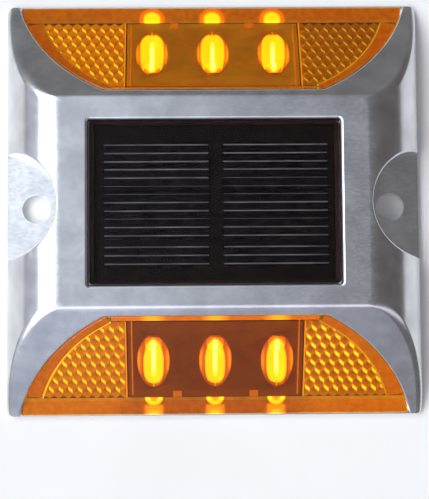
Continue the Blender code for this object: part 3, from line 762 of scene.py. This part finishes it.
def shell_solid():
    """Points and faces of a closed solid whose top is stepped at every opening."""
    coords, edges = [], []
    for loop, closed in plan_loops():
        first = len(coords)
        coords += [(point.x, point.y) for point in loop]
        count = len(loop)
        edges += [(first + i, first + (i + 1) % count) for i in range(count if closed else count - 1)]
    plan, _, triangles = delaunay_2d_cdt([Vector(c) for c in coords], edges, [], 0, 1e-5)[:3]
    plan, triangles = np.array(plan), np.array(triangles)
    corners = plan[triangles]
    spin = np.cross(corners[:, 1] - corners[:, 0], corners[:, 2] - corners[:, 0])
    triangles = np.where((spin > 0)[:, None], triangles, triangles[:, ::-1])
    centres = corners.mean(axis=1)
    region = region_of(centres[:, 0], centres[:, 1])
    triangles, region = triangles[region != HOLE], region[region != HOLE]

    points, index = [], {}
    for number in range(HOLE):
        used = np.unique(triangles[region == number])
        px, py, pz = region_point(plan[used, 0], plan[used, 1], number)
        for vertex, place in zip(used, zip(px, py, pz)):
            index[(vertex, number)] = len(points)
            points.append(place)
    base = {}
    for vertex in np.unique(triangles):
        base[vertex] = len(points)
        points.append((plan[vertex, 0], plan[vertex, 1], 0.0))

    faces, owner = [], {}
    for face, number in zip(triangles, region):
        faces.append(tuple(index[(vertex, number)] for vertex in face))
        faces.append(tuple(base[vertex] for vertex in reversed(face)))
        for a, b in zip(face, np.roll(face, -1)):
            owner[(a, b)] = number
    for (a, b), number in owner.items():
        other = owner.get((b, a))
        if other is None:
            faces.append((index[(b, number)], index[(a, number)], base[a], base[b]))
        elif number < other:
            faces.append((index[(b, number)], index[(a, number)], index[(a, other)], index[(b, other)]))
    return points, faces


def clean_faces(points, faces):
    """Joins points that coincide, and drops what collapses."""
    keys, first, remap = {}, [], []
    for place in points:
        key = tuple(round(float(value), 5) for value in place)
        if key not in keys:
            keys[key] = len(first)
            first.append(place)
        remap.append(keys[key])
    rings = [tuple(dict.fromkeys(remap[vertex] for vertex in face)) for face in faces]
    return first, [ring for ring in rings if len(ring) > 2]


def hollow():
    """The space for the electronics, with walls parallel to the slopes."""
    rings = []
    for z in (1.0, HOLLOW_TOP):
        reach = HALF - (z - SILL) / math.tan(SLOPE) - LEDGE_DEPTH / math.sin(SLOPE)
        rings.append(level(notched(HOLLOW_X, reach, POCKET + POCKET_WALL), z))
    return loft(rings)


def on_skin(mesh):
    """Which faces of the shell belong to its upper skin, and the skin's normal at each vertex."""
    count = len(mesh.vertices)
    places = np.empty(count * 3)
    mesh.vertices.foreach_get("co", places)
    places = places.reshape(count, 3) / MM
    z, normal = skin_point(places[:, 0], places[:, 1])
    close = np.abs(z - places[:, 2]) < NEAR
    return [all(close[v] for v in face.vertices) and face.normal.z > NEAR for face in mesh.polygons], normal


def smooth_skin(shell):
    """Gives the skin the true surface's normals, and leans those of the bolt pads outwards."""
    soften(shell, 30)
    mesh = shell.data
    skin, normal = on_skin(mesh)
    corners = [(0.0, 0.0, 0.0)] * len(mesh.loops)  # which keeps the mesh's own normal
    for face, is_skin in zip(mesh.polygons, skin):
        on_pad = face.normal.z > 0.99 and abs(face.center.z / MM - PAD_TOP) < NEAR
        leaning = (math.copysign(math.sin(PAD_LEAN), face.center.x), 0.0, math.cos(PAD_LEAN))
        for corner in face.loop_indices if is_skin or on_pad else ():
            corners[corner] = tuple(normal[mesh.loops[corner].vertex_index]) if is_skin else leaning
    mesh.normals_split_custom_set(corners)


def build_shell():
    aluminium = MATERIALS["cast_aluminium"]
    shell = mesh_object("stud_shell", *clean_faces(*shell_solid()), aluminium, smooth=False)
    space = mesh_object("space", *hollow(), aluminium)
    places = [(x * SCREW[0], y * SCREW[1]) for x in (-1, 1) for y in (-1, 1)]
    combine(space, [cylinder(place, BOSS_RADIUS, BASE_TOP, HOLLOW_TOP + 1) for place in places])
    cutters = [prism(notched(*RIM, POCKET + POCKET_WALL), -1, BASE_TOP), solid_of(space)]
    cutters += [cylinder(place, SCREW_HOLE, 0, SCREW_TOP, 24) for place in places]
    for rear in (False, True):
        cutters.append(on_slope(prism(lens_outline(LEDGE), -LEDGE_DEPTH - 1, -LENS_DEPTH), rear))
    hole = rectangle(WINDOW_HOLE[0] / 2, WINDOW_HOLE[1] / 2, HOLE_CORNER)
    cutters.append(prism(hole, HOLLOW_TOP - 1, WINDOW_FLOOR + 0.5))
    combine(shell, cutters)
    smooth_skin(shell)
    return shell


# Painted light: the LEDs' light and painted light and shade given to the pieces' points as emission, from where
# they lie in the front half


def soft_step(value, edge, width):
    """0 below the edge, 1 above it, smooth over width."""
    t = np.clip((value - edge) / width + 0.5, 0, 1)
    return (t * t * (3 - 2 * t))[:, None]


def blend(colour, light, share):
    """A colour with a share of it turned into one of the LEDs' lights or painted lights."""
    return colour * (1 - share) + LED_AND_PAINTED_LIGHT[light] * share


def beside_led(places):
    """Distance across from the nearest LED's axis."""
    return np.abs(places[:, 0] - LED_PITCH * np.round(places[:, 0] / LED_PITCH))


def strip_places(places):
    """Distances from the nearest LED's axis and from the outer edge, and where an LED is near."""
    near = (np.abs(places[:, 0]) < LED_PITCH + 5)[:, None]
    return beside_led(places), HALF - np.abs(places[:, 1]), near


def front_strip_painted_light(places):
    """Painted second images of the LEDs: an orange block with a lighter middle in front of every LED, under part of
    a yellow ring, lighter towards the ends.
    """
    across, depth, near = strip_places(places)
    outer = soft_step(np.abs(places[:, 0]), 27.0, 12.0)
    colour = LED_AND_PAINTED_LIGHT["front strip"] + LED_AND_PAINTED_LIGHT["front strip end"] * outer
    block = (1 - soft_step(across, 2.6, 1.6)) * (1 - soft_step(depth, 3.4, 1.0)) * near
    colour = blend(colour, "block", block)
    middle = (1 - soft_step(across, 1.5, 1.2)) * (1 - soft_step(depth, 1.7, 1.0)) * near
    colour = blend(colour, "block middle", middle)
    smile = np.hypot(across, depth - 6.0)
    yellow = blend(LED_AND_PAINTED_LIGHT["smile middle"], "smile", soft_step(smile, 1.3, 1.0))
    smile = (1 - soft_step(smile, 2.6, 0.5)) * near
    return colour * (1 - smile) + yellow * smile


def rear_strip_painted_light(places):
    """Painted second images of the LEDs: a yellow disc with an orange halo behind every LED."""
    across, depth, near = strip_places(places)
    disc = np.hypot(across, depth - 4.4)
    colour = blend(LED_AND_PAINTED_LIGHT["rear strip"], "halo", (1 - soft_step(disc, 3.7, 1.6)) * near)
    return blend(colour, "disc", (1 - soft_step(disc, 2.5, 0.7)) * near)


def front_lip_painted_light(places):
    """Painted LED light, bright along the lens's top edge and brightest above the LEDs."""
    return blend(LED_AND_PAINTED_LIGHT["front lip"], "front lip beam", 1 - soft_step(beside_led(places), 2.6, 4.0))


def cup_painted_light(places, half):
    """Painted LED light along a cup: brown sides with a painted highlight line at the rim, a yellow bullet of half
    a width, and a white streak."""
    across = beside_led(places)
    out = np.abs(places[:, 1]) - 45.1  # from where the bullet is widest
    width = half - 1.5 * np.clip((-out - 0.5) / 6.0, 0, 1) ** 1.5
    width *= np.sqrt(np.clip(1 - (np.clip(out, 0, 9) / 6.6) ** 4, 0, 1))
    ahead = soft_step(out, -6.3, 0.8)
    bullet = (1 - soft_step(across, width, 0.5)) * ahead
    streak = (1 - soft_step(across, 0.45, 0.6)) * (1 - soft_step(out, 3.0, 4.0)) * ahead
    sides = LED_AND_PAINTED_LIGHT["cup side"] * (0.5 + 0.5 * soft_step(out, -5.0, 6.0))
    sides = sides + LED_AND_PAINTED_LIGHT["cup rim"] * soft_step(across, 4.12, 0.25)
    return blend(blend(sides, "bullet", bullet), "bullet streak", streak)


def led_glow(places):
    """Brown at the back, then a yellow dome with a white streak along its top."""
    across = beside_led(places)
    out = np.abs(places[:, 1]) - CUP_BACK
    width = 2.7 * np.sqrt(np.clip((out - 1.0) / 2.6, 0, 1))
    dome = 1 - soft_step(across, width, 0.7)
    core = (1 - soft_step(across, 0.5, 0.6)) * soft_step(places[:, 2], LED_Z + 0.8, 2.0) * soft_step(out, 2.0, 2.0)
    return blend(blend(LED_AND_PAINTED_LIGHT["led back"], "led dome", dome), "led streak", core)


def lattice_painted_light(points, painted_glints, strength):
    """Painted shade in the corners' middles, painted highlights on their crests, and brightest at their painted
    glints.
    """
    middle = BEHIND_TOP - 2 * PRISM_HEIGHT + 0.1
    lights = []
    for x, s, out in points:
        light = "prism middle" if out < middle else "prism crest"
        lights.append("prism flash" if (round(x, 2), round(s, 2)) in painted_glints else light)
    return [LED_AND_PAINTED_LIGHT[light] * strength for light in lights]


def lit_piece(name, parts, material, rear=False, smooth=False):
    """One piece from several solids as they lie in front, each with its glow: one colour, one for each point, or
    a function of the points."""
    solid = merged([part for part, _ in parts])
    piece = mesh_object(name, *(about_face(solid) if rear else solid), MATERIALS[material], smooth)
    lights = []
    for (points, _), glow in parts:
        light = glow(np.array(points)) if callable(glow) else glow
        lights.append(np.broadcast_to(light, (len(points), 3)))
    vertices = np.empty(len(piece.data.loops), np.int32)
    piece.data.loops.foreach_get("vertex_index", vertices)
    colours = np.ones((len(vertices), 4), np.float32)
    colours[:, :3] = np.concatenate(lights)[vertices]
    attribute = piece.data.attributes.new("glow", "FLOAT_COLOR", "CORNER")
    attribute.data.foreach_set("color", colours.ravel())
    return piece


# Lenses


def lens_plate(name, rear):
    """The amber plate with a rounded rim, clipped level just above the recess's floor."""
    rings = [level(lens_outline(), -LENS_DEPTH)]
    for step in range(5):
        angle = math.radians(90) * step / 4
        inset = LENS_RIM * (1 - math.cos(angle))
        rings.append(level(lens_outline(inset), LENS_RIM * math.sin(angle) - LENS_RIM))
    plate = mesh_object(name, *on_slope(loft(rings), rear), MATERIALS["amber_lens"])
    combine(plate, [prism(rectangle(70, 70, 1.0), -30, SILL + LENS_GAP)])
    soften(plate, 40)
    out = Vector((0, -OUTWARD.y if rear else OUTWARD.y, OUTWARD.z))
    for face in plate.data.polygons:
        face.use_smooth = abs(face.normal.dot(out)) < 0.995 and face.normal.z > -0.99
    return plate


def prism_arc(inset=0.0):
    """The outer edge of the right-hand prism field, from the bottom to the top."""
    return arc((PRISM_LOW[0] - inset, PRISM_LOW[1]), (PRISM_TOP[0] - inset, PRISM_TOP[1]), PRISM_BULGE)


def prism_lattice(side):
    """Corner cubes side by side, drawn on the slope, and the places of their painted glints."""
    across, up = PRISM_PITCH
    top, depth = BEHIND_TOP, PRISM_DEPTH - BEHIND_GAP
    points, faces, index, painted_glints = [], [], {}, set()

    def vertex(x, s, out):
        key = (round(x, 3), round(s, 3), out == top - depth)
        if key not in index:
            index[key] = len(points)
            points.append((x, s, out))
        return index[key]

    rim = []
    for row in PRISM_ROWS:
        for column in PRISM_COLUMNS[side]:
            x, s = (column + row % 2 / 2) * across, PRISM_START + row * up
            middle = vertex(x, s, top - 2 * PRISM_HEIGHT)
            ring = []
            for corner in range(6):
                beside = (0, 1, 1, 0, -1, -1)[corner] * across / 2
                along = (2, 1, -1, -2, -1, 1)[corner] * up / 3
                out = top - PRISM_HEIGHT if corner % 2 == 0 else top
                ring.append((vertex(x + beside, s + along, out), vertex(x + beside, s + along, top - depth)))
            # the facet on the upper right leans down to the left, and is split round its painted glint
            ends, crest = (ring[0][0], ring[2][0]), ring[1][0]
            start, end = Vector(points[ends[0]]), Vector(points[ends[1]])
            rise = (Vector(points[crest]) - Vector(points[middle])) / 2
            inner = []
            for share in (-1, 1):
                spot = (start + end) / 2 + share * (0.17 * (end - start) + 0.3 * rise)
                inner.append(vertex(*spot))
                painted_glints.add((round(spot.x, 2), round(spot.y, 2)))
            for tip in (middle, crest):
                faces += [(ends[0], tip, inner[0]), (inner[0], tip, inner[1]), (inner[1], tip, ends[1])]
            for first in (2, 4):
                faces.append((middle, ring[(first + 2) % 6][0], ring[first + 1][0], ring[first][0]))
            faces.append(tuple(low for _, low in ring))
            rim += [(ring[(corner + 1) % 6], ring[corner]) for corner in range(6)]
    within = {(a[0], b[0]) for a, b in rim}
    faces += [(b[0], a[0], a[1], b[1]) for a, b in rim if (b[0], a[0]) not in within]
    return (points, faces), painted_glints

def lens_prisms(name, rear):
    """The two prism fields on the lens's back, with painted highlights on the steps along their edges."""
    parts = []
    for side, strength, step in FIELDS[rear]:
        # the rear half is drawn in front and turned round, so its left field is drawn on the right
        drawn = -side if rear else side
        solid, painted_glints = prism_lattice(drawn)
        field = mesh_object("field", *solid, MATERIALS["lens_prisms"])
        within = PRISM_INNER_X + 0.45
        edge = [Vector((within, PRISM_LOW[1]))] + prism_arc(0.5) + [Vector((within, PRISM_TOP[1]))]
        outer = prism_arc() + list(reversed(prism_arc(STEP_WIDTH)))
        inner = [Vector((PRISM_INNER_X + x, s)) for x, s in (
            (0, PRISM_LOW[1]), (STEP_WIDTH, PRISM_LOW[1]), (STEP_WIDTH, PRISM_TOP[1]), (0, PRISM_TOP[1]))]
        if drawn < 0:
            edge, outer, inner = mirrored(edge), mirrored(outer), mirrored(inner)
        combine(field, [prism(edge, -5, 0)], "INTERSECT")
        lattice = solid_of(field)
        parts.append((on_slope(lattice), lattice_painted_light(lattice[0], painted_glints, strength)))
        # the steps' brightness is a painted highlight, weaker where a field is painted as shaded
        for outline, light in ((outer, LED_AND_PAINTED_LIGHT["outer step"] * (step, step, 1)), (inner, LED_AND_PAINTED_LIGHT["inner step"])):
            parts.append((on_slope(prism(outline, BEHIND_TOP - STEP_DEPTH, BEHIND_TOP)), light))
    return lit_piece(name, parts, "lens_prisms", rear)


def slab(low, high, wide):
    """A thin closed block between two layers of points, in rows of wide points."""
    size = len(low)
    under = [(a, a + wide, a + wide + 1, a + 1) for a in range(size - wide) if (a + 1) % wide]
    edges = [edge for face in under for edge in zip(face, face[1:] + face[:1])]
    inner = set(edges)
    faces = under + [tuple(vertex + size for vertex in reversed(face)) for face in under]
    faces += [(b, a, a + size, b + size) for a, b in edges if (b, a) not in inner]
    return low + high, faces


def strip_sheet():
    """A thin sheet along the outer edge: level over the recess's lip, then up the slope."""
    path = [(STRIP_START - STRIP_GRID * step, STRIP_Z) for step in range(19)]
    bend = path[-1][0]
    path += [(bend - STRIP_GRID * step, STRIP_Z + STRIP_GRID * step * math.tan(SLOPE)) for step in range(1, 5)]
    across = [-STRIP_X + STRIP_GRID * step for step in range(round(2 * STRIP_X / STRIP_GRID) + 1)]
    layers = [[(x, -reach, z + lift) for reach, z in path for x in across] for lift in (0.0, 0.1)]
    return slab(*layers, len(across))


def lens_strip(name, rear):
    """The lens's clear parts behind its surface, as sheets that carry painted LED light: the strip along the outer
    edge, with painted second images of the LEDs, the rim outside the prisms, the lip, the ribs beside the LEDs and
    the tabs below them."""
    strip = mesh_object("strip", *strip_sheet(), MATERIALS["lens_strip"])
    side = [Vector(corner) for corner in STRIP_SIDE]
    combine(strip, [on_slope(prism(side + mirrored(side), -8, 1))], "INTERSECT")
    parts = [(solid_of(strip), rear_strip_painted_light if rear else front_strip_painted_light)]
    rim = [point for point in lens_outline(0.7)[:25] if point.y > 5.6] + list(reversed(prism_arc(-0.1)))
    for outline in (rim, mirrored(rim)):
        solid = prism(outline, BEHIND_LOW, BEHIND_TOP)
        parts.append((on_slope(solid), LED_AND_PAINTED_LIGHT["rear edge" if rear else "front edge"]))
    across = np.linspace(-LIP_X, LIP_X, LIP_POINTS)
    lip = slab(*[[(x, s, out) for s in LIP for x in across] for out in (BEHIND_LOW, BEHIND_TOP)], LIP_POINTS)
    parts.append((on_slope(lip), LED_AND_PAINTED_LIGHT["rear lip"] if rear else front_lip_painted_light))
    boxes = [(x - RIB_HALF, x + RIB_HALF, *RIB, "rib") for x in (-RIB_X, RIB_X)]
    for left, right, low, high, light in boxes + [(*tab, *TAB, "tab") for tab in TABS]:
        parts.append((on_slope(box((left, low, BEHIND_LOW), (right, high, BEHIND_TOP))), LED_AND_PAINTED_LIGHT[light]))
    return lit_piece(name, parts, "lens_strip", rear)


# LED holder, cups and LEDs


def slope_place(s, depth):
    """(y, z) of a point of the front slope's section."""
    return UPWARD.y * s - HALF - OUTWARD.y * depth, SILL + UPWARD.z * s - OUTWARD.z * depth


def holder(name, rear):
    """The wedge behind the lens's clear middle, with a bore for each cup and each LED."""
    under = RECESS_DEPTH + HOLDER_PLATE
    low_y, low_z = slope_place(HOLDER_LOW, RECESS_DEPTH)
    foot = RECESS_DEPTH + (low_z - BASE_TOP) / OUTWARD.z
    back_s = (HALF - HOLDER_BACK + OUTWARD.y * under) / UPWARD.y
    outline = [(low_y, low_z), slope_place(HOLDER_TOP, RECESS_DEPTH), slope_place(HOLDER_TOP, under)]
    outline += [slope_place(back_s, under), (-HOLDER_BACK, BASE_TOP), (slope_place(HOLDER_LOW, foot)[0], BASE_TOP)]
    rings = [[(x, y, z) for y, z in outline] for x in (HOLDER_X, -HOLDER_X)]
    # the rear holder's plastic is painted lighter, as painted light on it
    plastic = MATERIALS["brown_plastic_painted_lit" if rear else "brown_plastic"]
    body = mesh_object(name, *loft(rings), plastic, smooth=False)
    bores = []
    for column in (-1, 0, 1):
        x = column * LED_PITCH
        bores.append(lying(turned([(CUP_RADIUS, 0), (CUP_RADIUS, 30)]), x, -CUP_BACK))
        bores.append(lying(turned([(LED_RADIUS + 0.3, -6), (LED_RADIUS + 0.3, 0.5)]), x, -CUP_BACK))
    combine(body, bores)
    if rear:
        body.data.transform(Matrix.Rotation(math.pi, 4, "Z"))
    soften(body, 30)
    return body


def cup(name, column, rear, sides=96, steps=36):
    """The thin reflector in one bore, cut off level with the holder's sloping face."""
    outer, inner, neck = CUP_RADIUS - 0.08, CUP_RADIUS - 0.35, LED_RADIUS + 0.45
    back, floor = -CUP_BACK - 0.1, -CUP_BACK - 0.4
    rings = []
    for side in range(sides):
        angle = 2 * math.pi * side / sides

        def place(radius, y):
            return column * LED_PITCH + radius * math.cos(angle), y, LED_Z + radius * math.sin(angle)

        def mouth(radius):
            z = LED_Z + radius * math.sin(angle)
            s = (z - SILL + OUTWARD.z * (RECESS_DEPTH + 0.05)) / UPWARD.z
            return min(slope_place(s, RECESS_DEPTH + 0.05)[0], floor - 0.1)

        ring = [place(neck, back), place(outer, back), place(outer, mouth(outer))]
        ring += [place(inner, mouth(inner) + (floor - mouth(inner)) * step / steps) for step in range(steps + 1)]
        rings.append(ring + [place(neck, floor)])
    long = len(rings[0])
    points = [point for ring in rings for point in ring]
    faces = []
    for side in range(sides):
        here, after = side * long, (side + 1) % sides * long
        for step in range(long):
            following = (step + 1) % long
            faces.append((here + step, after + step, after + following, here + following))
    glow = cup_painted_light(np.array(points), BULLET_HALF[rear])
    piece = lit_piece(name, [((points, faces), glow)], "cup_reflector", rear)
    soften(piece, 40)
    return piece


def led(name, column, rear):
    """A round LED with its flange and two legs."""
    flange = LED_RADIUS + LED_FLANGE
    profile = [(flange, 0), (flange, 1.0), (LED_RADIUS, 1.02)]
    straight = LED_LENGTH - LED_RADIUS
    profile += [(LED_RADIUS, 1.0 + (straight - 1.0) * step / 10) for step in range(1, 11)]
    for step in range(1, 12):
        angle = math.radians(90 * step / 12)
        profile.append((LED_RADIUS * math.cos(angle), straight + LED_RADIUS * math.sin(angle)))
    middle = column * LED_PITCH
    parts = [(lying(turned(profile + [(0.06, LED_LENGTH)]), middle, -LED_BACK), led_glow)]
    leg = turned([(LEG_RADIUS, -2.6), (LEG_RADIUS, 0.2)], 12)
    parts += [(lying(leg, middle + side * LEG_SPACING / 2, -LED_BACK), (0.0, 0.0, 0.0)) for side in (-1, 1)]
    piece = lit_piece(name, parts, "led_epoxy", rear)
    soften(piece, 40)
    return piece


# Solar cells


def fingers(name):
    """The three silver lines along every solar cell, counted from the rear."""
    solids = []
    for label, faint in FAINT_LINES.items():
        for line_number in range(15):
            low, high = (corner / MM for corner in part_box(f"solar_cell_{label}_{line_number // 3 + 1}"))
            y = (low.y + high.y) / 2 + FINGER_PITCH * (1 - line_number % 3)
            half = FINGER_FAINT if line_number in faint else FINGER_HALF
            solids.append(box((low.x + 0.45, y - half, high.z + 0.01), (high.x - 0.35, y + half, high.z + 0.06)))
    return mesh_object(name, *merged(solids), MATERIALS["silver_finger"], smooth=False)


# Surroundings


def stage():
    corners = [(x * FLOOR_HALF, y * FLOOR_HALF, 0) for x, y in ((-1, -1), (1, -1), (1, 1), (-1, 1))]
    floor = mesh_object("floor", corners, [(0, 1, 2, 3)], MATERIALS["floor"])


def camera():
    lens = bpy.data.cameras.new("camera")
    lens.sensor_width = CAMERA_SENSOR
    lens.lens = CAMERA_LENS
    eye = bpy.data.objects.new("camera", lens)
    SCENE.collection.objects.link(eye)
    place = Matrix.Translation(Vector(CAMERA_PLACE) * MM)
    for degrees, axis in CAMERA_TURNS:
        place = place @ Matrix.Rotation(math.radians(degrees), 4, axis)
    eye.matrix_world = place
    SCENE.camera = eye


def studio():
    """Soft light from all round: the panels on the dome."""
    world = bpy.data.worlds.new("studio")
    SCENE.world = world
    world.use_nodes = True
    tree = world.node_tree
    parts = new_node(tree, "SeparateXYZ")
    link(new_node(tree, "TexCoord"), "Generated", parts, "Vector")

    def maths(operation, *values):
        """A Math node fed by numbers and by (node, socket) pairs."""
        node = new_node(tree, "Math", operation=operation)
        for slot, value in enumerate(values):
            if isinstance(value, tuple):
                link(*value, node, slot)
            else:
                node.inputs[slot].default_value = value
        return node

    tilts = [maths("ARCTAN2", (parts, axis), (parts, "Z")) for axis in ("X", "Y")]
    total = None
    for *middles, half_x, half_y, soft, light in PANELS:
        covers = []
        for tilt, middle, half in zip(tilts, middles, (half_x, half_y)):
            away = maths("ABSOLUTE", (maths("SUBTRACT", (tilt, "Value"), math.radians(middle)), "Value"))
            inner, outer = math.radians(half - soft / 2), math.radians(half + soft / 2)
            covers.append((ranged(away, "Value", inner, outer, 1.0, 0.0, "SMOOTHSTEP"), "Result"))
        shade = mixed(maths("MULTIPLY", *covers), "Value", (0.0, 0.0, 0.0), light)
        total = shade if total is None else added(total, shade)
    dome = mixed(ranged(parts, "X", -0.9, 0.6, 0.0, 1.0), "Result", *DOME)
    link(added(total, dome), MIXED, tree.nodes["Background"], "Color")


def kept(piece, slot, *replaced):
    """Gives a piece to the frame: it moves with the root, and may replace nodes."""
    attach(piece, "root")
    if replaced:
        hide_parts(*replaced)


stage()
camera()
studio()
SCENE.view_settings.view_transform = "Standard"

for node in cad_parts.values():
    for slot in node.material_slots:
        slot.material = MATERIALS[slot.material.name.split(".")[0]]

kept(build_shell(), "cast_aluminium", "housing")
for side_name, rear in (("front", False), ("rear", True)):
    lens_node = side_name + "_lens"
    kept(lens_plate(side_name + "_lens_plate", rear), "amber_lens", lens_node)
    kept(lens_prisms(side_name + "_lens_prisms", rear), "amber_lens", lens_node)
    kept(lens_strip(side_name + "_lens_strip", rear), "amber_lens", lens_node)
    holder_node = side_name + "_led_holder"
    kept(holder(side_name + "_holder", rear), "brown_plastic", holder_node)
    for column, label in ((-1, "left"), (0, "middle"), (1, "right")):
        place = -column if rear else column
        kept(cup(f"{side_name}_cup_{label}", place, rear), "brown_plastic", holder_node)
        kept(led(f"{side_name}_lamp_{label}", place, rear), "led_epoxy", f"{side_name}_led_{label}")
kept(fingers("solar_fingers"), "silicon_cell")
